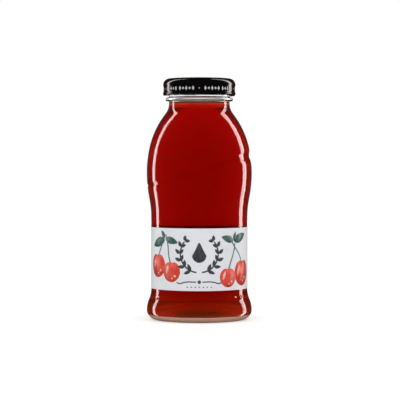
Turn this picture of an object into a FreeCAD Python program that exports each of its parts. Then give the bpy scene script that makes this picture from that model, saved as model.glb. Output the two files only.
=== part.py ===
import FreeCAD, Part
import math
import os

# A small glass juice bottle with a wrap-round paper label and a lacquered twist-off lid.
# Millimetres. +Z is up and the origin is the middle of the ring that the bottle stands on.
# The front of the label faces -Y. The slanted shoulder groove is widest and highest at +X.

# Glass bottle, outside
glass_height = 134.75  # bearing ring to sealing rim
body_diameter = 58.9  # heel and belly, the two widest rings
heel_radius = 5.5  # corner between the heel and the base
bearing_width = 2.4  # flat ring that the bottle stands on
push_up = 3.0  # height of the domed base above the bearing ring
panel_depth = 2.5  # how far the label panel lies in from the heel and the belly
panel_bottom = 17.6
panel_top = 56.9
belly_height = 82.4
heel_share = 0.48  # part of the foot's S-curve that bulges out
belly_share = 0.45  # part of the belly's S-curve that curves in

# Shoulder: two bulging arcs and one hollow arc that turns up into the neck
shoulder_tightening = 0.75  # radius of the upper bulging arc over that of the lower one
shoulder_split = 1 / 3  # part of the shoulder's slope that the lower bulging arc makes
shallowest_slope = 1.0  # degrees between which the full slope is looked for
steepest_slope = 89.0
slope_halvings = 44
neck_sweep = 9.5  # radius of the hollow arc
neck_land = 0.8  # straight neck below the bead

# Finish: the mouth of the bottle, from the bead to the sealing rim
finish_diameter = 34.2
neck_relief = 0.15  # how much slimmer the neck is than the finish, on the radius
bead_reach = 1.7
bead_nose = 0.7
bead_slope = 52.0  # degrees that the bead's top leans in from upright
bead_fillet = 0.4
bead_drop = 3.8  # lid's lower edge down to the bead's underside
rim_round = 1.0
bore_round = 0.9

# Glass bottle, inside
wall = 2.8
heel_thickening = 0.3  # how much thicker the heel is than the wall
cavity_corner = 5.0
floor_glass = 3.2  # under the lowest ring of the floor
floor_centre_glass = 3.0

# Shoulder groove: a slanted ring that narrows from the right side to the left
groove_height = 82.3  # where its plane crosses the axis
groove_slant = 16.0  # degrees up towards +X
groove_deep = 0.93
groove_shallow = 0.09
groove_wide_radius = 9.0  # radius of its hollow section where it is deepest
groove_narrow_radius = 3.0
groove_fading = 2.5  # how much sooner the depth fades towards the left than the width
groove_sections = 24

# Juice
fill_drop = 13.75  # sealing rim down to the surface of the juice

# Paper label
paper = 0.15
label_gap_below = 0.2  # from the lower edge of the panel
label_gap_above = 4.9  # from the upper edge of the panel
label_lap = 18.0  # degrees of glued overlap
label_seam = 90.0  # direction of the middle of the overlap: the back
lap_sink = 0.075  # how far the lapping end is pressed into the paper under it

# Twist-off lid, pressed from tinplate
lid_sheet = 0.25
lid_height = 9.2
thread_reach = 1.5  # room that the glass thread takes outside the finish
skirt_clearance = 1.19
lid_corner = 3.6
shoulder_swell = 0.25
swell_height = 1.2
well_clearance = 0.45  # between the sunk middle of the lid and the bore
well_depth = 0.8
well_ramp = 1.4
button_radius = 5.0
button_depth = 0.45
button_ramp = 2.6
curl_radius = 0.75
curl_flare = 0.33
flare_height = 1.0
curl_turn = 250.0
lug_count = 4
lug_azimuth = -71.5  # of the first lug, in degrees from the front towards +X
lug_plan_radius = 6.0
lug_tip_bite = 0.7  # how far the tip reaches in under the thread
lug_hang = 0.45  # below the curl
lug_thickness = 1.55
lug_skin = 0.12  # how far the lug stays inside the outer face of the curl
lug_round = 0.3

body_r = body_diameter / 2
panel_r = body_r - panel_depth
finish_r = finish_diameter / 2
neck_r = finish_r - neck_relief
bore_r = neck_r - wall
bead_r = finish_r + bead_reach
lid_top = glass_height + lid_sheet
lid_bottom = lid_top - lid_height
bead_bottom = lid_bottom - bead_drop
neck_top = bead_bottom - neck_land
skirt_r = finish_r + thread_reach + skirt_clearance + lid_sheet
UP = FreeCAD.Vector(0, 0, 1)
CENTRE = FreeCAD.Vector(0, 0, 0)


def direction(degrees):
    """Unit vector in the half section: 0 points straight out, 90 straight up."""
    angle = math.radians(degrees)
    return FreeCAD.Vector(math.cos(angle), 0, math.sin(angle))


class Outline:
    """Tangent lines and arcs drawn in the half section of radius (X) and height (Z)."""

    def __init__(self, radius, height, heading):
        self.start = FreeCAD.Vector(radius, 0, height)
        self.first_heading = heading
        self.tip = self.start
        self.heading = heading
        self.moves = []
        self.edges = []

    def line(self, length):
        end = self.tip + direction(self.heading) * length
        self.edges.append(Part.makeLine(self.tip, end))
        self.moves.append(("line", length, 0))
        self.tip = end
        return self

    def bend(self, radius, turn):
        """An arc of that radius; a positive turn, in degrees, goes left."""
        side = math.copysign(90, turn)
        centre = self.tip + direction(self.heading + side) * radius
        outward = self.heading - side
        middle = centre + direction(outward + turn / 2) * radius
        end = centre + direction(outward + turn) * radius
        self.edges.append(Part.Arc(self.tip, middle, end).toShape())
        self.moves.append(("bend", radius, turn))
        self.tip = end
        self.heading += turn
        return self

    def ogee(self, ahead, aside, share=0.5):
        """Two opposite arcs that end parallel, so far ahead and so far to the left.

        share is the part of the S-curve that its first arc takes.
        """
        turn = 2 * math.degrees(math.atan2(aside, ahead))
        radii = abs(ahead / math.sin(math.radians(turn)))
        return self.bend(radii * share, turn).bend(radii * (1 - share), -turn)

    def beside(self, gap):
        """The parallel outline that lies to the right by the gap."""
        start = self.start + direction(self.first_heading - 90) * gap
        copy = Outline(start.x, start.z, self.first_heading)
        for kind, size, turn in self.moves:
            if kind == "line":
                copy.line(size)
            else:
                copy.bend(size + math.copysign(gap, turn), turn)
        return copy


def revolved(edges):
    """The solid of revolution about the bottle's axis of a closed loop of edges."""
    wire = Part.Wire(Part.__sortEdges__(edges))
    return Part.Face(wire).revolve(CENTRE, UP, 360)


def shoulder_arcs():
    """Radius of the lower bulging arc and full slope of the shoulder, in degrees.

    They are found by halving, so that the arcs run from the belly to the neck.
    """
    rise = neck_top - belly_height
    draw_in = body_r - neck_r

    def lower_radius(slope):
        first = math.sin(slope * shoulder_split)
        bulge = first + shoulder_tightening * (math.sin(slope) - first)
        return (rise - neck_sweep * math.sin(slope)) / bulge

    def drawn_in(slope):
        first = math.cos(slope * shoulder_split)
        bulge = 1 - first + shoulder_tightening * (first - math.cos(slope))
        return lower_radius(slope) * bulge + neck_sweep * (1 - math.cos(slope))

    shallow = math.radians(shallowest_slope)
    steep = math.radians(steepest_slope)
    for _ in range(slope_halvings):
        middle = (shallow + steep) / 2
        if drawn_in(middle) < draw_in:
            shallow = middle
        else:
            steep = middle
    return lower_radius(steep), math.degrees(steep)


def side_to_neck(outline, inset):
    """Draws the panel, belly and shoulder up to the bead, moved inwards by the inset."""
    radius, slope = shoulder_arcs()
    first = slope * shoulder_split
    outline.line(panel_top - panel_bottom)
    outline.ogee(belly_height - panel_top, -panel_depth, belly_share)
    outline.bend(radius - inset, first)
    outline.bend(radius * shoulder_tightening - inset, slope - first)
    outline.bend(neck_sweep + inset, -slope)
    outline.line(neck_land)


def outside():
    """Outer half section, from the middle of the base to the flat of the sealing rim."""
    flat_start = body_r - heel_radius - bearing_width
    outline = Outline(0, push_up, 0)
    outline.ogee(flat_start, -push_up)
    outline.line(bearing_width)
    outline.bend(heel_radius, 90)
    outline.ogee(panel_bottom - heel_radius, panel_depth, heel_share)
    side_to_neck(outline, 0)
    outline.bend(bead_fillet, -90)
    outline.line(bead_r - neck_r - bead_fillet - bead_nose)
    outline.bend(bead_nose, 90 + bead_slope)
    slope = math.radians(bead_slope)
    last_fillet = bead_fillet * (1 - math.cos(slope))
    outline.line((outline.tip.x - finish_r - last_fillet) / math.sin(slope))
    outline.bend(bead_fillet, -bead_slope)
    outline.line(glass_height - rim_round - outline.tip.z)
    outline.bend(rim_round, 90)
    return outline


def inside():
    """Inner half section, from the middle of the floor to the flat of the sealing rim."""
    centre_height = push_up + floor_centre_glass
    heel_r = body_r - wall - heel_thickening
    corner_top = floor_glass + cavity_corner
    outline = Outline(0, centre_height, 0)
    outline.ogee(heel_r - cavity_corner, floor_glass - centre_height)
    outline.bend(cavity_corner, 90)
    outline.ogee(panel_bottom - corner_top, panel_depth - heel_thickening)
    side_to_neck(outline, wall)
    outline.line(glass_height - bore_round - bead_bottom)
    outline.bend(bore_round, -90)
    return outline


def groove_ring():
    """Ring-shaped tool whose round section follows the outside of the glass.

    Its sections stand on a slanted ellipse and shrink from the right side to the left.
    """
    slant = math.tan(math.radians(groove_slant))
    sections = []
    for number in range(groove_sections):
        azimuth = 2 * math.pi * number / groove_sections
        share = (1 + math.cos(azimuth)) / 2
        depth = groove_shallow + (groove_deep - groove_shallow) * share**groove_fading
        radius = groove_narrow_radius + (groove_wide_radius - groove_narrow_radius) * share
        height = groove_height + body_r * math.cos(azimuth) * slant
        out = FreeCAD.Vector(math.cos(azimuth), math.sin(azimuth), 0)
        along = FreeCAD.Vector(-math.sin(azimuth), math.cos(azimuth), 0)
        surface, lean = outside_at(height)
        normal = out * math.cos(lean) + UP * math.sin(lean)
        middle = out * surface + UP * height + normal * (radius - depth)
        circle = Part.makeCircle(radius, middle, along)
        sections.append(Part.Wire(circle))
    return Part.makeLoft(sections, True, False, True)


def outside_at(height):
    """Radius of the belly or shoulder at a height, and how far its normal leans up."""
    radius, slope = shoulder_arcs()
    if height < belly_height:
        rise = belly_height - panel_top
        turn = 2 * math.atan2(panel_depth, rise)
        radius = rise / math.sin(turn) * (1 - belly_share)
    sine = (height - belly_height) / radius
    return body_r - radius * (1 - math.sqrt(1 - sine * sine)), math.asin(sine)


def glass_bottle():
    """Blown glass: one revolved wall, less the slanted groove."""
    outer = outside()
    inner = inside()
    base = Part.makeLine(outer.start, inner.start)
    rim = Part.makeLine(inner.tip, outer.tip)
    glass = revolved(outer.edges + [rim] + inner.edges + [base])
    return glass.cut(groove_ring())


def juice():
    """All that the bottle holds, from its floor to a flat surface in the neck."""
    inner = inside()
    top = FreeCAD.Vector(0, 0, glass_height)
    lid_side = Part.makeLine(inner.tip, top)
    axis = Part.makeLine(top, inner.start)
    cavity = revolved(inner.edges + [lid_side, axis])
    return cavity.common(Part.makeCylinder(body_r, glass_height - fill_drop))


def label():
    """A strip of paper wrapped round the panel, its end glued over its start at the back."""
    bottom = panel_bottom + label_gap_below
    height = panel_top - label_gap_above - bottom
    foot = UP * bottom
    wrap = Part.makeCylinder(panel_r + paper, height, foot)
    wrap = wrap.cut(Part.makeCylinder(panel_r, height, foot))
    end = Part.makeCylinder(panel_r + 2 * paper, height, foot, UP, label_lap)
    end = end.cut(Part.makeCylinder(panel_r + paper - lap_sink, height, foot))
    end.rotate(CENTRE, UP, label_seam - label_lap / 2)
    return wrap.fuse(end).removeSplitter()


def lid_face():
    """Outer face of the lid, from the sunk button over the corner to the rolled edge."""
    well_top = lid_top - well_depth
    well_r = bore_r - well_clearance
    corner_r = skirt_r + shoulder_swell
    straight = lid_height - lid_corner - swell_height - flare_height - curl_radius
    outline = Outline(0, well_top - button_depth, 0)
    outline.line(button_radius)
    outline.ogee(button_ramp, button_depth)
    outline.line(well_r - well_ramp - outline.tip.x)
    outline.ogee(well_ramp, well_depth)
    outline.line(corner_r - lid_corner - outline.tip.x)
    outline.bend(lid_corner, -90)
    outline.ogee(swell_height, -shoulder_swell)
    outline.line(straight)
    outline.ogee(flare_height, curl_flare)
    outline.bend(curl_radius, -curl_turn)
    return outline


def lug(azimuth):
    """A stretch of the rolled edge pressed flat and inwards, which grips the thread."""
    tip_r = finish_r + thread_reach - lug_tip_bite
    outer_r = skirt_r + curl_flare - lug_skin
    foot = UP * (lid_bottom - lug_hang)
    tab = Part.makeCylinder(lug_plan_radius, lug_thickness, foot)
    tab.translate(FreeCAD.Vector(tip_r + lug_plan_radius, 0, 0))
    tab = tab.common(Part.makeCylinder(outer_r, lug_thickness, foot))
    tab = tab.makeFillet(lug_round, tab.Edges)
    tab.rotate(CENTRE, UP, azimuth - 90)
    return tab


def lid():
    """Pressed lid of one thickness of sheet, with its lugs."""
    face = lid_face()
    back = face.beside(lid_sheet)
    middle = Part.makeLine(face.start, back.start)
    edge = Part.makeLine(face.tip, back.tip)
    shell = revolved(face.edges + [edge] + back.edges + [middle])
    for number in range(lug_count):
        shell = shell.fuse(lug(lug_azimuth + number * 360 / lug_count))
    return shell.removeSplitter()


os.makedirs("parts", exist_ok=True)
pieces = {
    "glass_bottle": glass_bottle(),
    "juice": juice(),
    "label": label(),
    "lid": lid(),
}
for name, shape in pieces.items():
    solids = shape.Solids
    box = shape.optimalBoundingBox(False)
    print(name, len(solids), "solid, volume", round(shape.Volume), "mm3, valid", shape.isValid())
    print("  radius", round(box.XMax, 2), "height", round(box.ZMin, 2), "to", round(box.ZMax, 2))
    solids[0].exportStep("parts/" + name + ".step")
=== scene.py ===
import bmesh
import bpy
import math
from mathutils import Matrix, Vector


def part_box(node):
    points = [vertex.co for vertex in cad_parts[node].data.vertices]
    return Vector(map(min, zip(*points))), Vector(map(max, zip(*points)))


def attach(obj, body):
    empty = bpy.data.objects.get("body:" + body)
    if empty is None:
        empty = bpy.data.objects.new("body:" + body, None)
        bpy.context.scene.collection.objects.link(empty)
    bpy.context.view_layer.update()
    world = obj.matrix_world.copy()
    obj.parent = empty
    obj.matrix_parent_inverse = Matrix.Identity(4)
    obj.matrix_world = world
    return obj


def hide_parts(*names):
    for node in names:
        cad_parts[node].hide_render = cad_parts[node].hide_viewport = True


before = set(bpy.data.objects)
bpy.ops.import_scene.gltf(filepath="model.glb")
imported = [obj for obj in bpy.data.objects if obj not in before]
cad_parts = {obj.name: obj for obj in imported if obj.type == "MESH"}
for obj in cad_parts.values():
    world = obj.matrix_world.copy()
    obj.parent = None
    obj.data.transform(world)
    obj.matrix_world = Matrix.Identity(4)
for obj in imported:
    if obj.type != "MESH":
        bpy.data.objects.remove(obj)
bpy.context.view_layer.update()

# ---------------------------------------------------------------------------------------
# GLASS BOTTLE. A stubby clear soda-lime bottle, blown in a two-part mould: bulging heel,
# sunk label panel, round shoulder crossed by one slanted groove, stippled bearing ring.
# Its outline is drawn in millimetres as tangent lines and arcs and spun about the axis.
# ---------------------------------------------------------------------------------------
MM = 0.001
weld = 0.002  # points nearer than this are one
glass_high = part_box("glass_bottle")[1]
glass_height = glass_high.z / MM
body_r = glass_high.x / MM
heel_radius = 5.5  # corner between the heel and the base
bearing_width = 2.4  # flat ring that the bottle stands on
bearing_inner_r = body_r - heel_radius - bearing_width
push_up = 3.0  # height of the domed base above the bearing ring
panel_depth = 2.5
panel_r = body_r - panel_depth
panel_bottom = 17.6
panel_top = 56.9
belly_height = 82.4
heel_share = 0.48  # part of the foot's S-curve that bulges out
belly_share = 0.45  # part of the belly's S-curve that curves in

shoulder_radius = 64.0  # of its lower bulging arc
shoulder_tightening = 0.75  # radius of the upper bulging arc over that of the lower one
shoulder_slope = 37.876  # degrees that the shoulder leans in where it is steepest
first_slope = shoulder_slope / 3
neck_sweep = 9.5  # radius of the hollow arc into the neck
neck_land = 0.8
neck_r = 16.95

bead_bottom = 122.0
bead_r = 18.8
bead_nose = 0.55
bead_land = 0.7  # upright face of the bead
bead_fillet = 0.4
bead_slope = 76.0  # degrees that the bead's top leans in from upright
finish_r = 17.1
rim_round = 1.0
bore_round = 0.9

wall = 2.8
heel_thickening = 0.3
cavity_corner = 5.0
floor_glass = 3.2  # under the lowest ring of the floor
floor_centre_glass = 3.0

glass_steps = 256
ring_edge = 0.4  # lengths of edges up the outside, shortest where the groove is cut
foot_edge = 0.55
belly_edge = 0.34
shoulder_edge = 0.8
inside_edge = 1.5

groove_height = 82.85  # where its plane crosses the axis
groove_slant = math.tan(math.radians(15.0))
groove_deep = 0.93
groove_shallow = 0.42
groove_wide_radius = 9.0  # of its hollow section where it is deepest
groove_narrow_radius = 1.3
groove_fading = 2.5  # how much sooner the depth fades towards the left than the width
groove_ease = 0.44  # how soon the lower side eases out, over the half width of the hollow
groove_lip = 0.12  # how softly the upper lip rolls over, over the depth

# The real stipple is finer than this: it is drawn as coarse as it needs to show.
stipple_count = glass_steps // 2
stipple_depth = 0.5
stipple_height = 3.2
stipple_start = 0.6  # how far inside the bearing ring it fades in
stipple_rows = 1.5  # from one row to the next

mould_dots = ((17.4, 13.9), (19.4, 13.9), (22.6, 13.6), (-22.4, 12.6))  # across, height
dot_radius = 1.15
dot_height = 0.5


def heading_vector(degrees):
    """Unit step in the half section: 0 points out from the axis, 90 straight up."""
    return Vector((math.cos(math.radians(degrees)), 0, math.sin(math.radians(degrees))))


class Pen:
    """Draws tangent lines and arcs of edges in the half section, in millimetres."""

    def __init__(self, bm, radius, height, heading, fine=0.6):
        self.bm = bm
        self.tip = bm.verts.new((radius, 0, height))
        self.heading = heading
        self.fine = fine

    def line(self, length, fine=None):
        steps = max(1, round(length / (fine or self.fine)))
        step = heading_vector(self.heading) * length / steps
        for _ in range(steps):
            self.tip = bmesh.ops.extrude_vert_indiv(self.bm, verts=[self.tip])["verts"][0]
            bmesh.ops.translate(self.bm, verts=[self.tip], vec=step)

    def bend(self, radius, turn, fewest=2):
        """An arc; a positive turn, in degrees, goes left."""
        side = math.copysign(90, turn)
        steps = max(fewest, round(abs(math.radians(turn)) * radius / self.fine))
        centre = self.tip.co + heading_vector(self.heading + side) * radius
        turned = bmesh.ops.spin(self.bm, geom=[self.tip], cent=centre, axis=(0, -1, 0),
                                angle=math.radians(turn), steps=steps)
        self.tip = turned["geom_last"][0]
        self.heading += turn

    def ogee(self, ahead, aside, share=0.5, fewest=2):
        """Two opposite arcs that end parallel, so far ahead and so far to the left."""
        turn = 2 * math.degrees(math.atan2(aside, ahead))
        radii = abs(ahead / math.sin(math.radians(turn)))
        self.bend(radii * share, turn, fewest)
        self.bend(radii * (1 - share), -turn, fewest)


def spun(bm, steps):
    """Turns the drawn half section round the axis: an eighth of a turn, doubled three times."""
    bmesh.ops.spin(bm, geom=bm.verts[:] + bm.edges[:], cent=(0, 0, 0), axis=(0, 0, 1),
                   angle=math.tau / 8, steps=steps // 8)
    for turn in (math.tau / 8, math.tau / 4, math.tau / 2):
        copy = bmesh.ops.duplicate(bm, geom=bm.verts[:] + bm.edges[:] + bm.faces[:])
        verts = [part for part in copy["geom"] if isinstance(part, bmesh.types.BMVert)]
        bmesh.ops.rotate(bm, verts=verts, cent=(0, 0, 0), matrix=Matrix.Rotation(turn, 3, "Z"))
    bmesh.ops.remove_doubles(bm, verts=bm.verts[:], dist=weld)
    bmesh.ops.recalc_face_normals(bm, faces=bm.faces[:])
    if bm.calc_volume(signed=True) < 0:
        bmesh.ops.reverse_faces(bm, faces=bm.faces[:])


def cavity_foot(pen, corner_steps, wetting=0):
    """Draws the floor of the cavity, its corner and the foot up to the panel."""
    pen.ogee(body_r - wall - heel_thickening - cavity_corner,
             floor_glass - push_up - floor_centre_glass)
    pen.bend(cavity_corner + wetting, 90, corner_steps)
    pen.ogee(panel_bottom - floor_glass - cavity_corner, panel_depth - heel_thickening)


def side_to_neck(pen, inset, fine, coarse):
    """Draws the panel, belly and shoulder up to the bead, moved inwards by the inset.

    The belly and lower shoulder are drawn in fine steps, the upper shoulder in coarse ones.
    """
    pen.line(panel_top - panel_bottom, 3.0)
    pen.fine = fine
    pen.ogee(belly_height - panel_top, -panel_depth, belly_share)
    pen.bend(shoulder_radius - inset, first_slope)
    pen.fine = coarse
    pen.bend(shoulder_radius * shoulder_tightening - inset, shoulder_slope - first_slope)
    pen.bend(neck_sweep + inset, -shoulder_slope, 14)
    pen.line(neck_land)


def piece_from(bm, name, materials, slot, *replaced):
    """Makes the finished object of a mesh drawn in millimetres and ties it to the frame."""
    bmesh.ops.scale(bm, vec=(MM, MM, MM), verts=bm.verts[:])
    for face in bm.faces:
        face.smooth = True
    mesh = bpy.data.meshes.new(name)
    bm.to_mesh(mesh)
    bm.free()
    piece = bpy.data.objects.new(name, mesh)
    bpy.context.scene.collection.objects.link(piece)
    for made in materials:
        mesh.materials.append(made)
    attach(piece, "root")
    if replaced:
        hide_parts(*replaced)


def linear(code):
    """Turns an sRGB hex code into linear red, green, blue and an alpha of 1."""
    parts = [int(code[i:i + 2], 16) / 255 for i in (1, 3, 5)]
    return (*[p / 12.92 if p <= 0.04045 else ((p + 0.055) / 1.055) ** 2.4 for p in parts], 1)


def add(tree, kind, inputs=None, **settings):
    """Adds a shader node, with its settings and its inputs as values or links."""
    node = tree.nodes.new("ShaderNode" + kind)
    for name, value in settings.items():
        setattr(node, name, value)
    for name, value in (inputs or {}).items():
        if isinstance(value, bpy.types.NodeSocket):
            tree.links.new(value, node.inputs[name])
        else:
            node.inputs[name].default_value = value
    return node


def new_material(name, inputs):
    """A material with one Principled shader, its inputs given as values."""
    made = bpy.data.materials.new(name)
    made.use_nodes = True
    shader = made.node_tree.nodes["Principled BSDF"]
    for socket, value in inputs.items():
        shader.inputs[socket].default_value = value
    return made, made.node_tree, shader


def groove_dip(azimuth, height):
    """How far a point of the outside sinks into the slanted groove, square to the axis."""
    share = (1 + math.cos(azimuth)) / 2
    depth = groove_shallow + (groove_deep - groove_shallow) * share ** groove_fading
    hollow = groove_narrow_radius + (groove_wide_radius - groove_narrow_radius) * share
    middle = groove_height + body_r * math.cos(azimuth) * groove_slant
    above = height - middle
    if above < 0:
        return depth * math.exp(above / (groove_ease * math.sqrt(2 * hollow * depth)))
    dip = depth - above * above / (2 * hollow)
    return (dip + math.hypot(dip, groove_lip * depth)) / 2


def dot_rise(x, y, height):
    """How far the small mould dots stand out on the front of the heel."""
    rise = 0
    for across, dot_middle in mould_dots:
        away = math.hypot(x - across, height - dot_middle) / dot_radius
        if y < 0 and away < 1:
            rise = max(rise, dot_height * (0.5 + 0.5 * math.cos(math.pi * away)))
    return rise


def stipple_dip(azimuth, radius, height):
    """How deep the glass is stippled on the bearing ring and the turn of the heel."""
    fade = min(1, max(0, radius - bearing_inner_r + stipple_start))
    fade *= 1 - (height / stipple_height) ** 2
    bumps = math.cos(azimuth * stipple_count) * math.cos(math.tau * radius / stipple_rows)
    return stipple_depth * fade * (0.5 - 0.5 * bumps)


bm = bmesh.new()
inner_side = bm.verts.layers.int.new("inner_side")
outer = Pen(bm, 0, push_up, 0, inside_edge)
outer.ogee(bearing_inner_r, -push_up)
outer.fine = ring_edge
outer.line(bearing_width)
outer.bend(heel_radius, 90)
outer.fine = foot_edge
outer.ogee(panel_bottom - heel_radius, panel_depth, heel_share)
side_to_neck(outer, 0, belly_edge, shoulder_edge)
outer.bend(bead_fillet, -90, 4)
outer.line(bead_r - neck_r - bead_fillet - bead_nose)
outer.bend(bead_nose, 90, 6)
outer.line(bead_land, 0.3)
outer.bend(bead_nose, bead_slope, 6)
slope = math.radians(bead_slope)
last_fillet = bead_fillet * (1 - math.cos(slope))
outer.line((outer.tip.co.x - finish_r - last_fillet) / math.sin(slope))
outer.bend(bead_fillet, -bead_slope, 4)
outer.line(glass_height - rim_round - outer.tip.co.z, 1.0)
outer.bend(rim_round, 90, 6)
outer_verts = set(bm.verts)

inner = Pen(bm, 0, push_up + floor_centre_glass, 0, inside_edge)
cavity_foot(inner, 12)
side_to_neck(inner, wall, inside_edge, inside_edge)
inner.line(glass_height - bore_round - bead_bottom, 1.2)
inner.bend(bore_round, -90, 6)
for vert in bm.verts:
    vert[inner_side] = vert not in outer_verts
bm.edges.new((inner.tip, outer.tip))
spun(bm, glass_steps)

for vert in bm.verts:
    x, y, height = vert.co
    radius = math.hypot(x, y)
    if vert[inner_side] or radius < 1:
        continue
    azimuth = math.atan2(y, x)
    out = Vector((x / radius, y / radius, 0))
    vert.co -= out * (groove_dip(azimuth, height) - dot_rise(x, y, height))
    if height < stipple_height:
        lean = math.acos(min(1, max(0, (radius - body_r + heel_radius) / heel_radius)))
        square = out * math.cos(lean) - Vector((0, 0, math.sin(lean)))
        vert.co -= square * stipple_dip(azimuth, radius, height)

# Flint glass, blown and fire-polished: clear and colourless, with sharp reflections.
flint_glass = new_material("flint_glass_blown", {
    "Base Color": linear("#FFFFFF"), "Roughness": 0.0, "IOR": 1.5, "Transmission Weight": 1.0,
})[0]
# Where the juice wets it, the inner face of the glass hardly mirrors anything.
wetted_glass = new_material("flint_glass_wetted", {
    "Base Color": linear("#FFFFFF"), "Roughness": 0.0, "IOR": 1.5, "Transmission Weight": 1.0,
    "Specular Tint": (0, 0, 0, 1),
})[0]
# The stippled ring is scuffed by the filling line, so it scatters light. Its warm tint is painted
# light: the gold glow of light through the juice at the base.
stippled_glass = new_material("flint_glass_stippled", {
    "Base Color": linear("#FBE8CC"), "Roughness": 0.26, "IOR": 1.5, "Transmission Weight": 0.5,
})[0]
fill_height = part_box("juice")[1].z / MM
for face in bm.faces:
    middle = face.calc_center_median()
    if all(vert[inner_side] for vert in face.verts):
        face.material_index = 1 if middle.z < fill_height else 0
    elif middle.z < stipple_height and middle.xy.length > bearing_inner_r:
        face.material_index = 2
bm.verts.layers.int.remove(inner_side)
piece_from(bm, "blown_glass", [flint_glass, wetted_glass, stippled_glass],
           "glass", "glass_bottle")

# ---------------------------------------------------------------------------------------
# JUICE. Red juice with a little pulp, filled hot up to the neck. It wets the glass, so it
# is drawn a hair into the wall, and its surface climbs the wall in a small curved rim.
# ---------------------------------------------------------------------------------------
juice_low, juice_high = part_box("juice")
juice_floor = juice_low.z / MM
juice_top = juice_high.z / MM
wetting = 0.06
meniscus_radius = 0.5
meniscus_turn = 70.0
film_edge = 0.12  # rounded edge where the juice ends on the glass
juice_steps = 300
juice_edge = 1.0  # length of its edges up the side

bm = bmesh.new()
pen = Pen(bm, 0, push_up + floor_centre_glass - wetting, 0, 0.9)
cavity_foot(pen, 14, wetting)
side_to_neck(pen, wall - wetting, juice_edge, juice_edge)
cosine = math.cos(math.radians(meniscus_turn))
climb = meniscus_radius * (1 - cosine) - film_edge * cosine
pen.line(juice_top + climb - pen.tip.co.z, 0.8)
pen.bend(film_edge, 90 + meniscus_turn, 4)
pen.bend(meniscus_radius, -meniscus_turn, 6)
pen.line(pen.tip.co.x)
pen.tip.co.x = 0
spun(bm, juice_steps)

# Red fruit juice: deep red because blue and green light are lost on the way through, a
# little cloudy with pulp. Its colour by height is painted light: paler and orange towards
# the floor, where light comes in through the base, darker just at the label's lower edge,
# where the label's shade falls, and pale orange at the surface, lit from the headspace.
red_juice, tree, shader = new_material("red_fruit_juice", {
    "Roughness": 0.0, "IOR": 1.35, "Transmission Weight": 0.85, "Specular Tint": (0, 0, 0, 1),
})
# Painted light and shade: paler near the floor and the surface, darker at the label's lower edge.
painted_light_tones = (  # height above the floor of the bottle, colour
    (0.0, "#FF6A28"), (4.0, "#FB5E1C"), (7.0, "#F24C12"), (10.0, "#E5360B"), (14.0, "#D81C03"),
    (57.0, "#F01C03"), (92.0, "#FA1C04"), (114.0, "#FD1D05"), (115.4, "#FE3F19"),
    (116.5, "#FF6434"), (117.6, "#FFB498"),
)
place = add(tree, "TexCoord")
axes = add(tree, "SeparateXYZ", {0: place.outputs["Object"]})
level = add(tree, "MapRange", {"Value": axes.outputs["Z"], "From Min": juice_low.z,
                               "From Max": juice_high.z})
painted_light_ramp = add(tree, "ValToRGB", {"Fac": level.outputs["Result"]})
stops = painted_light_ramp.color_ramp.elements
stops.remove(stops[-1])
for number, (height, code) in enumerate(painted_light_tones):
    share = height / (juice_top - juice_floor)
    stop = stops[0] if number == 0 else stops.new(share)
    stop.position = share
    stop.color = linear(code)
tree.links.new(painted_light_ramp.outputs["Color"], shader.inputs["Base Color"])
lost_per_metre = (26.0, 105.0, 200.0)  # of red, green and blue light
density = max(lost_per_metre)
absorbing = add(tree, "VolumeAbsorption", {
    "Color": (*[1 - lost / density for lost in lost_per_metre], 1), "Density": density,
})
tree.links.new(absorbing.outputs["Volume"], tree.nodes["Material Output"].inputs["Volume"])
piece_from(bm, "red_juice", [red_juice], "juice", "juice")

# ---------------------------------------------------------------------------------------
# LABEL. A strip of coated white paper, wrapped round the panel and glued to itself at the
# back. Offset printed in front: watercolour cherries, leafy sprigs round a drop, a rule.
# ---------------------------------------------------------------------------------------
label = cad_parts["label"]
label_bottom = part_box("label")[0].z / MM
paper = 0.15
label_r = panel_r + paper
ink_thickness = 0.012
ink_clearance = 0.006  # under the first ink
ink_step = 0.014  # from one ink to the next that is laid over it


def clouded(tree, shader, pale, deep, size, contrast=0.5):
    """Base colour that wanders between two inks in clouds of that size, in metres."""
    place = add(tree, "TexCoord")
    cloud = add(tree, "TexNoise", {"Vector": place.outputs["Object"], "Scale": 1 / size,
                                   "Detail": 4.0, "Roughness": 0.6})
    spread = add(tree, "MapRange", {"Value": cloud.outputs["Fac"],
                                    "From Min": 0.5 - contrast / 2,
                                    "From Max": 0.5 + contrast / 2})
    blend = add(tree, "Mix", {"Factor": spread.outputs["Result"]}, data_type="RGBA")
    blend.inputs[6].default_value = linear(pale)
    blend.inputs[7].default_value = linear(deep)
    tree.links.new(blend.outputs[2], shader.inputs["Base Color"])


def textured(tree, shader, size, depth, detail=2.0):
    """Fine relief of grains of that size and depth, in metres."""
    place = add(tree, "TexCoord")
    grain = add(tree, "TexNoise", {"Vector": place.outputs["Object"], "Scale": 1 / size,
                                   "Detail": detail, "Roughness": 0.55})
    bump = add(tree, "Bump", {"Height": grain.outputs["Fac"], "Distance": depth, "Strength": 1.0})
    tree.links.new(bump.outputs["Normal"], shader.inputs["Normal"])


def spot(bm, u, v, radius, tall=1.0, lean=0.0, segments=40):
    """A round or oval spot; u runs along the label from the front, v up from its edge."""
    place = Matrix.Translation((u, 0, v)) @ Matrix.Rotation(math.radians(-lean), 4, "Y")
    shape = place @ Matrix.Diagonal((1, 1, tall, 1)) @ Matrix.Rotation(math.pi / 2, 4, "X")
    made = bmesh.ops.create_circle(bm, cap_ends=True, segments=segments, radius=radius,
                                   matrix=shape)
    return made["verts"]


def leaf(bm, u, v, length, width, heading):
    """A pointed leaf that grows from its foot in the heading, in degrees from +u."""
    place = Matrix.Translation((u, 0, v)) @ Matrix.Rotation(math.radians(-heading), 4, "Y")
    for vert in spot(bm, 0, 0, 1, segments=28):
        along = (1 + vert.co.x) / 2
        side = vert.co.z * abs(vert.co.z) ** 0.5 * (1.25 - 0.5 * along)
        vert.co = place @ Vector((along * length, 0, side * width / 2))


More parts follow.
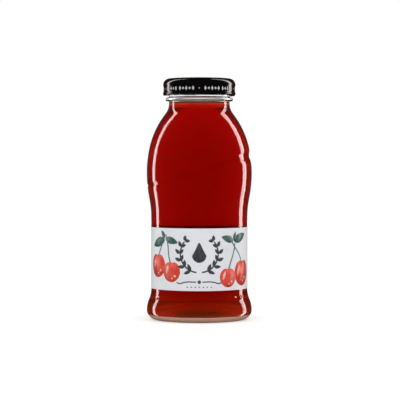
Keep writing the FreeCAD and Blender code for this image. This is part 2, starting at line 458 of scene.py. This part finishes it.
def stroke(bm, u, v, heading, width, *bends):
    """A brush line from a point, in bends of a radius and a turn; a turn left is positive."""
    side = heading_vector(heading + 90) * width / 2
    foot = Vector((u, 0, v))
    edge = bm.edges.new((bm.verts.new(foot + side), bm.verts.new(foot - side)))
    for radius, turn in bends:
        side = heading_vector(heading + math.copysign(90, turn))
        middle = (edge.verts[0].co + edge.verts[1].co) / 2 + side * radius
        turned = bmesh.ops.spin(bm, geom=[edge, *edge.verts], cent=middle, axis=(0, -1, 0),
                                angle=math.radians(turn), steps=max(4, round(abs(turn) / 6)))
        edge = [part for part in turned["geom_last"] if isinstance(part, bmesh.types.BMEdge)][0]
        heading += turn


def printed(bm, name, ink, slot, radius, foot, layer=0):
    """Wraps flat shapes round a cylinder as a thin film of ink, cut every millimetre."""
    grown = bmesh.ops.extrude_face_region(bm, geom=bm.faces[:], use_keep_orig=True)["geom"]
    top = [part for part in grown if isinstance(part, bmesh.types.BMVert)]
    bmesh.ops.translate(bm, verts=top, vec=(0, -ink_thickness, 0))
    bmesh.ops.recalc_face_normals(bm, faces=bm.faces[:])
    low = min(vert.co.x for vert in bm.verts)
    high = max(vert.co.x for vert in bm.verts)
    for cut in range(math.ceil(low), math.ceil(high)):
        bmesh.ops.bisect_plane(bm, geom=bm.verts[:] + bm.edges[:] + bm.faces[:], dist=1e-5,
                               plane_co=(cut, 0, 0), plane_no=(1, 0, 0))
    for vert in bm.verts:
        angle = vert.co.x / radius
        out = radius + ink_clearance + layer * ink_step - vert.co.y
        vert.co = Vector((out * math.sin(angle), -out * math.cos(angle), foot + vert.co.z))
    piece_from(bm, name, [ink], slot)


# Coated wood-free paper: almost matt, with the soft tooth of its fibres under the coating.
label_paper, tree, shader = new_material("coated_label_paper", {
    "Roughness": 0.45, "IOR": 1.45, "Subsurface Weight": 1.0, "Subsurface Scale": 0.0001,
    "Subsurface Radius": (1.0, 1.0, 1.0),
})
clouded(tree, shader, "#EBECF0", "#E4E5E9", 0.004)
textured(tree, shader, 0.0004, 0.000006, 4.0)
label.data.materials.clear()
label.data.materials.append(label_paper)

# Red ink laid on in watercolour: it pools dark and thins to a warm coral.
cherry_ink, tree, shader = new_material("cherry_watercolour_ink", {"Roughness": 0.4, "IOR": 1.45})
clouded(tree, shader, "#F25E48", "#D62A20", 0.0035, 0.35)
cherries = (  # across, height, radius, how tall, lean
    (-27.2, 13.6, 6.4, 1.06, 8), (-16.4, 10.4, 5.6, 1.04, -6),
    (17.0, 7.2, 5.4, 1.02, 5), (28.6, 9.6, 7.0, 1.06, -8),
)
dent_depth = 0.17  # where the stalk goes in, over the radius
dent_width = 0.34  # in radians round the cherry
bm = bmesh.new()
for u, v, radius, tall, lean in cherries:
    for vert in spot(bm, u, v, radius, tall, lean, 56):
        away = vert.co - Vector((u, 0, v))
        dent = math.exp(-(math.atan2(away.x, away.z) / dent_width) ** 2)
        vert.co -= away * dent_depth * dent
printed(bm, "cherry_print", cherry_ink, "label_paper", label_r, label_bottom)

# The same red let down to a blush, where the wet brush left light on the fruit.
blush_ink, tree, shader = new_material("blush_watercolour_ink", {"Roughness": 0.4, "IOR": 1.45})
clouded(tree, shader, "#FFC4B4", "#F58E7C", 0.002, 0.3)
bm = bmesh.new()
for u, v, radius, tall, lean in cherries:
    leaf(bm, u - radius * 0.62, v - radius * 0.25, radius * 0.95, radius * 0.3, 74)
    spot(bm, u + radius * 0.42, v - radius * 0.45, radius * 0.13)
    spot(bm, u + radius * 0.1, v - radius * 0.68, radius * 0.09)
printed(bm, "blush_print", blush_ink, "label_paper", label_r, label_bottom, 1)

# Blue-green ink for the leaves and stalks, mottled by the brush.
leaf_ink, tree, shader = new_material("leaf_watercolour_ink", {"Roughness": 0.4, "IOR": 1.45})
clouded(tree, shader, "#5E8A80", "#254A42", 0.002, 0.4)
cherry_leaves = (  # across, height, length, width, heading
    (-20.9, 28.2, 11.5, 5.0, 200), (-20.4, 28.6, 8.6, 3.8, -16), (-20.9, 28.8, 5.0, 2.3, 124),
    (21.2, 27.0, 11.0, 4.8, 20), (20.8, 27.2, 8.4, 3.8, 164), (21.2, 27.4, 5.0, 2.3, 76),
)
stalks = (  # across, height, heading, two bends of a radius and a turn
    (-26.6, 18.6, 66, (30, -8), (14, 30)), (-16.9, 15.0, 112, (20, -20), (26, 20)),
    (17.3, 11.6, 74, (34, -10), (26, 20)), (28.0, 15.2, 112, (20, 24), (20, -20)),
)
stalk_width = 0.75
bm = bmesh.new()
for u, v, length, width, heading in cherry_leaves:
    leaf(bm, u, v, length, width, heading)
for u, v, heading, *bends in stalks:
    stroke(bm, u, v, heading, stalk_width, *bends)
printed(bm, "leaf_print", leaf_ink, "label_paper", label_r, label_bottom, 2)

# Charcoal ink for the sprigs, the drop and the rule, a little dry at the edges.
line_ink, tree, shader = new_material("charcoal_line_ink", {"Roughness": 0.4, "IOR": 1.45})
clouded(tree, shader, "#54565A", "#3A3B40", 0.0012, 0.4)
sprig_height = 20.2  # middle of the ring that the two sprigs make
sprig_radius = 10.2
sprig_leaves = 6
drop_height = 19.4
drop_radius = 3.9
drop_point = 3.2  # how far its tip is drawn up
rule_height = 4.9
dots_in_row = 7
bm = bmesh.new()
for side in (-1, 1):
    stroke(bm, 1.5 * side, sprig_height - 10, 90 - 84 * side, 0.8, (sprig_radius, 124 * side))
    for step in range(sprig_leaves):
        angle = math.radians(-68 + 23 * step)
        u = side * (0.9 + (sprig_radius + 0.2) * math.cos(angle))
        v = sprig_height + (sprig_radius - 0.2) * math.sin(angle)
        for turn in (-44, 46):
            heading = math.degrees(angle) + 90 + turn
            leaf(bm, u, v, 4.2 - 0.25 * step, 1.9, heading if side > 0 else 180 - heading)
for vert in spot(bm, 0, drop_height, drop_radius, segments=40):
    rise = max(0, vert.co.z - drop_height) / drop_radius
    vert.co.x *= 1 - 0.62 * rise
    vert.co.z += drop_point * rise * rise
for side in (-1, 1):
    stroke(bm, 1.8 * side, rule_height, 90 - 90 * side, 0.6,
           (60, 3 * side), (12, -24 * side), (3.0, 60 * side))
spot(bm, 0, rule_height, 0.95, segments=24)
for number in range(dots_in_row):
    spot(bm, 2.2 * (number - dots_in_row // 2), 2.1, 0.36, segments=16)
printed(bm, "line_print", line_ink, "label_paper", label_r, label_bottom, 3)

# ---------------------------------------------------------------------------------------
# LID. A twist-off lid pressed from tinplate and stoved with black gloss lacquer outside and
# pale lacquer inside. Its edge is rolled outwards and in, and pressed flat into four lugs.
# ---------------------------------------------------------------------------------------
lid_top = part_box("lid")[1].z / MM
lid_sheet = 0.25
lid_height = 9.2
lid_bottom = lid_top - lid_height
skirt_r = 20.04
lid_corner = 3.6
shoulder_swell = 0.25  # how far the corner stands out over the skirt
swell_height = 1.2
well_r = 13.7  # the sunk middle
well_depth = 0.8
well_ramp = 1.4
button_radius = 5.0  # the safety button, sunk once more
button_depth = 0.45
button_ramp = 2.6
curl_radius = 0.75
curl_turn = 250.0
curl_flare = 0.33  # how far the skirt flares out above the curl
flare_height = 1.0
lid_steps = 240
lug_count = 4
lug_azimuth = -71.5
lug_plan_radius = 6.0
lug_tip_r = 17.9
lug_outer_r = 20.25
lug_thickness = 1.55
lug_hang = 0.45  # below the lid's lower edge
lug_round = 0.3
lug_corner = 0.6  # radians past which an edge of a lug is a corner and is rounded

bm = bmesh.new()
pen = Pen(bm, 0, lid_top - well_depth - button_depth, 0, 0.35)
pen.line(button_radius, 1.0)
pen.ogee(button_ramp, button_depth, fewest=6)
pen.line(well_r - well_ramp - button_radius - button_ramp, 1.0)
pen.ogee(well_ramp, well_depth, fewest=6)
pen.line(skirt_r + shoulder_swell - lid_corner - well_r, 1.0)
pen.bend(lid_corner, -90, 20)
pen.ogee(swell_height, -shoulder_swell)
pen.line(lid_height - lid_corner - swell_height - flare_height - curl_radius)
pen.ogee(flare_height, curl_flare)
pen.bend(curl_radius, -curl_turn, 18)
spun(bm, lid_steps)
outer_faces = set(bm.faces)
bmesh.ops.solidify(bm, geom=bm.faces[:], thickness=lid_sheet)
for face in bm.faces:
    face.material_index = 0 if face in outer_faces else 1

# Each lug is the lens where a punch circle overlaps the lid, pressed flat.
punch_r = lug_tip_r + lug_plan_radius
cross = (lug_outer_r ** 2 - lug_plan_radius ** 2 + punch_r ** 2) / (2 * punch_r)
half = math.sqrt(lug_outer_r ** 2 - cross ** 2)
lug_foot = lid_bottom - lug_hang
for number in range(lug_count):
    lug = bmesh.new()
    first = lug.verts.new((cross, -half, lug_foot))
    outer_arc = bmesh.ops.spin(lug, geom=[first], cent=(0, 0, lug_foot), axis=(0, 0, 1),
                               angle=2 * math.atan2(half, cross), steps=16)
    bmesh.ops.spin(lug, geom=outer_arc["geom_last"][:1], cent=(punch_r, 0, lug_foot),
                   axis=(0, 0, 1), angle=2 * math.atan2(half, punch_r - cross), steps=16)
    bmesh.ops.remove_doubles(lug, verts=lug.verts[:], dist=weld)
    plate = bmesh.ops.contextual_create(lug, geom=lug.edges[:])["faces"]
    raised = bmesh.ops.extrude_face_region(lug, geom=plate, use_keep_orig=True)["geom"]
    top = [part for part in raised if isinstance(part, bmesh.types.BMVert)]
    bmesh.ops.translate(lug, verts=top, vec=(0, 0, lug_thickness))
    bmesh.ops.recalc_face_normals(lug, faces=lug.faces[:])
    corners = [edge for edge in lug.edges if edge.calc_face_angle(0) > lug_corner]
    bmesh.ops.bevel(lug, geom=corners, offset=lug_round, segments=3, profile=0.5,
                    affect="EDGES", material=-1)
    turn = math.radians(lug_azimuth - 90 + number * 360 / lug_count)
    bmesh.ops.rotate(lug, verts=lug.verts[:], cent=(0, 0, 0),
                     matrix=Matrix.Rotation(turn, 3, "Z"))
    lug_mesh = bpy.data.meshes.new("lug")
    lug.to_mesh(lug_mesh)
    lug.free()
    bm.from_mesh(lug_mesh)
    bpy.data.meshes.remove(lug_mesh)

# Black stoving lacquer: deep gloss with a very slight orange peel.
black_lacquer, tree, shader = new_material("black_stoving_lacquer", {
    "Base Color": linear("#060607"), "Roughness": 0.14, "IOR": 1.5,
})
textured(tree, shader, 0.0011, 0.0000035)
# Pale food-safe lacquer inside, seen through the clear glass below the lid.
pale_lacquer, tree, shader = new_material("pale_inside_lacquer", {
    "Base Color": linear("#F6F2E8"), "Roughness": 0.35, "IOR": 1.5,
})
textured(tree, shader, 0.0011, 0.0000035)
piece_from(bm, "pressed_lid", [black_lacquer, pale_lacquer], "lid_lacquer", "lid")

# White screen ink on the skirt: a frieze of upright lozenges with single dots between.
skirt_ink, tree, shader = new_material("white_screen_ink", {"Roughness": 0.35, "IOR": 1.5})
clouded(tree, shader, "#C9CBCF", "#B4B6BB", 0.0009)
frieze_groups = 5
frieze_r = skirt_r + 0.02  # out to the face of the ink
frieze_span = math.tau * frieze_r / frieze_groups
frieze_height = 3.2  # above the lid's lower edge
lozenges_a_side = 5
lozenge_start = 3.4  # from the dot to the first lozenge
lozenge_pitch = 1.95
lozenge_radius = 0.72
lozenge_tall = (1.85, 1.2)  # height over width, by turns
bm = bmesh.new()
for group in range(frieze_groups):
    middle = (group - frieze_groups // 2) * frieze_span
    spot(bm, middle, frieze_height, 0.34, segments=16)
    for step in range(lozenges_a_side):
        for side in (-1, 1):
            across = middle + side * (lozenge_start + lozenge_pitch * step)
            spot(bm, across, frieze_height, lozenge_radius, lozenge_tall[step % 2], segments=4)
printed(bm, "frieze_print", skirt_ink, "lid_lacquer", skirt_r, lid_bottom)

# ---------------------------------------------------------------------------------------
# STUDIO. A pale matt floor that keeps the bottle's shadow, a white backdrop, and a tall
# soft strip of light to each side, a little behind the bottle.
# ---------------------------------------------------------------------------------------
floor_radius = 1.6
floor_lift = 0.42  # brings the floor up to the white of the backdrop, to the eye only
floor_through_glass = 0.95

bm = bmesh.new()
bmesh.ops.create_circle(bm, cap_ends=True, segments=96, radius=floor_radius)
mesh = bpy.data.meshes.new("floor")
bm.to_mesh(mesh)
bm.free()
floor = bpy.data.objects.new("floor", mesh)
bpy.context.scene.collection.objects.link(floor)
floor.visible_glossy = False
pale_floor = bpy.data.materials.new("pale_floor")
pale_floor.use_nodes = True
tree = pale_floor.node_tree
tree.nodes.clear()
ray = add(tree, "LightPath")
lift = add(tree, "Math", {0: ray.outputs["Is Camera Ray"], 1: floor_lift}, operation="MULTIPLY")
paint = add(tree, "BsdfDiffuse", {"Color": linear("#E6E6E6")})
glow = add(tree, "Emission", {"Strength": lift.outputs[0]})
seen = add(tree, "AddShader", {0: paint.outputs[0], 1: glow.outputs[0]})
through_glass = add(tree, "Emission", {"Strength": floor_through_glass})
chosen = add(tree, "MixShader", {0: ray.outputs["Is Transmission Ray"], 1: seen.outputs[0],
                                 2: through_glass.outputs[0]})
add(tree, "OutputMaterial", {"Surface": chosen.outputs[0]})
mesh.materials.append(pale_floor)

# The world is white to the eye. Glass also shows the brown edges of the room either side of
# the white backdrop, which draw its outline; mirroring faces see a dim warm room, a little
# lighter behind; and everything else gets soft light that is stronger from the front.
white = (1.0, 1.0, 1.0, 1.0)
room_edge = (0.66, 0.50, 0.40, 1.0)
room_hue = (1.0, 0.42, 0.28, 1.0)
backdrop_edges = (  # how far to the side, from 0 in the middle to 1, and the colour there
    (0.52, white), (0.68, room_edge), (0.90, room_edge), (0.97, white),
)
room_light = 0.02
room_light_behind = 0.06
soft_light = 0.76
front_light = 0.62  # added from straight in front
inner_mirror = 0.9  # seen through glass after a mirroring inside it

world = bpy.data.worlds.new("studio")
bpy.context.scene.world = world
world.use_nodes = True
tree = world.node_tree
tree.nodes.clear()
ray = add(tree, "LightPath")
place = add(tree, "TexCoord")
axes = add(tree, "SeparateXYZ", {0: place.outputs["Generated"]})

aside = add(tree, "Math", {0: axes.outputs["X"]}, operation="ABSOLUTE")
edges = add(tree, "ValToRGB", {"Fac": aside.outputs[0]})
stops = edges.color_ramp.elements
stops.remove(stops[-1])
for number, (share, colour) in enumerate(backdrop_edges):
    stop = stops[0] if number == 0 else stops.new(share)
    stop.position = share
    stop.color = colour
behind = add(tree, "Math", {0: axes.outputs["Y"], 1: 0.0}, operation="GREATER_THAN")
unmirrored = add(tree, "Math", {0: ray.outputs["Glossy Depth"], 1: 0.5}, operation="LESS_THAN")
straight = add(tree, "Math", {0: ray.outputs["Is Transmission Ray"], 1: unmirrored.outputs[0]},
               operation="MULTIPLY")
edged = add(tree, "Math", {0: straight.outputs[0], 1: behind.outputs[0]}, operation="MULTIPLY")
mirrored = add(tree, "Math", {0: ray.outputs["Is Glossy Ray"],
                              1: ray.outputs["Is Transmission Ray"]}, operation="SUBTRACT")
dusk = add(tree, "Mix", {"Factor": mirrored.outputs[0]}, data_type="RGBA")
dusk.inputs[6].default_value = white
dusk.inputs[7].default_value = room_hue
hue = add(tree, "Mix", {"Factor": edged.outputs[0]}, data_type="RGBA")
tree.links.new(dusk.outputs[2], hue.inputs[6])
tree.links.new(edges.outputs["Color"], hue.inputs[7])

toward = add(tree, "Math", {0: axes.outputs["Y"], 1: -front_light}, operation="MULTIPLY")
front = add(tree, "Math", {0: toward.outputs[0], 1: 0.0}, operation="MAXIMUM")
soft = add(tree, "Math", {0: front.outputs[0], 1: soft_light}, operation="ADD")
room = add(tree, "MapRange", {"Value": axes.outputs["Y"], "From Min": 0.6, "From Max": 0.95,
                              "To Min": room_light, "To Max": room_light_behind})
strength = soft.outputs[0]
for kind, level in (
    (ray.outputs["Is Glossy Ray"], room.outputs["Result"]),
    (ray.outputs["Is Transmission Ray"], inner_mirror),
    (straight.outputs[0], 1.0),
    (ray.outputs["Is Camera Ray"], 1.0),
):
    mix = add(tree, "Mix", {"Factor": kind, "A": strength, "B": level}, data_type="FLOAT")
    strength = mix.outputs[0]
sky = add(tree, "Background", {"Color": hue.outputs[2], "Strength": strength})
add(tree, "OutputWorld", {"Surface": sky.outputs[0]})

strip_distance = 0.7
strip_bottom = -0.4
strip_top = 2.0
strip_radiance = 7.1
strip_colour = (1.0, 0.90, 0.85)


def strip_light(name, azimuth, width):
    """A tall softbox that faces the axis; its azimuth is in degrees from front to right."""
    light = bpy.data.lights.new(name, "AREA")
    light.shape = "RECTANGLE"
    light.size = width
    light.size_y = strip_top - strip_bottom
    light.energy = strip_radiance * math.pi * light.size * light.size_y
    light.color = strip_colour
    lamp = bpy.data.objects.new(name, light)
    angle = math.radians(azimuth)
    inward = Vector((-math.sin(angle), math.cos(angle), 0))
    place = Vector((0, 0, (strip_bottom + strip_top) / 2)) - inward * strip_distance
    turn = inward.to_track_quat("-Z", "Y").to_matrix().to_4x4()
    lamp.matrix_world = Matrix.Translation(place) @ turn
    lamp.visible_camera = False
    lamp.visible_transmission = False
    lamp.visible_diffuse = False
    bpy.context.scene.collection.objects.link(lamp)


strip_light("left_strip", -117, 0.13)
strip_light("right_strip", 116.5, 0.18)

camera = bpy.data.cameras.new("camera")
camera.lens = 154.9
camera.sensor_width = 36
eye = bpy.data.objects.new("camera", camera)
eye.location = (0.0004, -0.966, 0.0894)
eye.rotation_euler = (math.radians(90 - 1.33), 0, 0)
bpy.context.scene.collection.objects.link(eye)
bpy.context.scene.camera = eye
bpy.context.scene.view_settings.view_transform = "Standard"
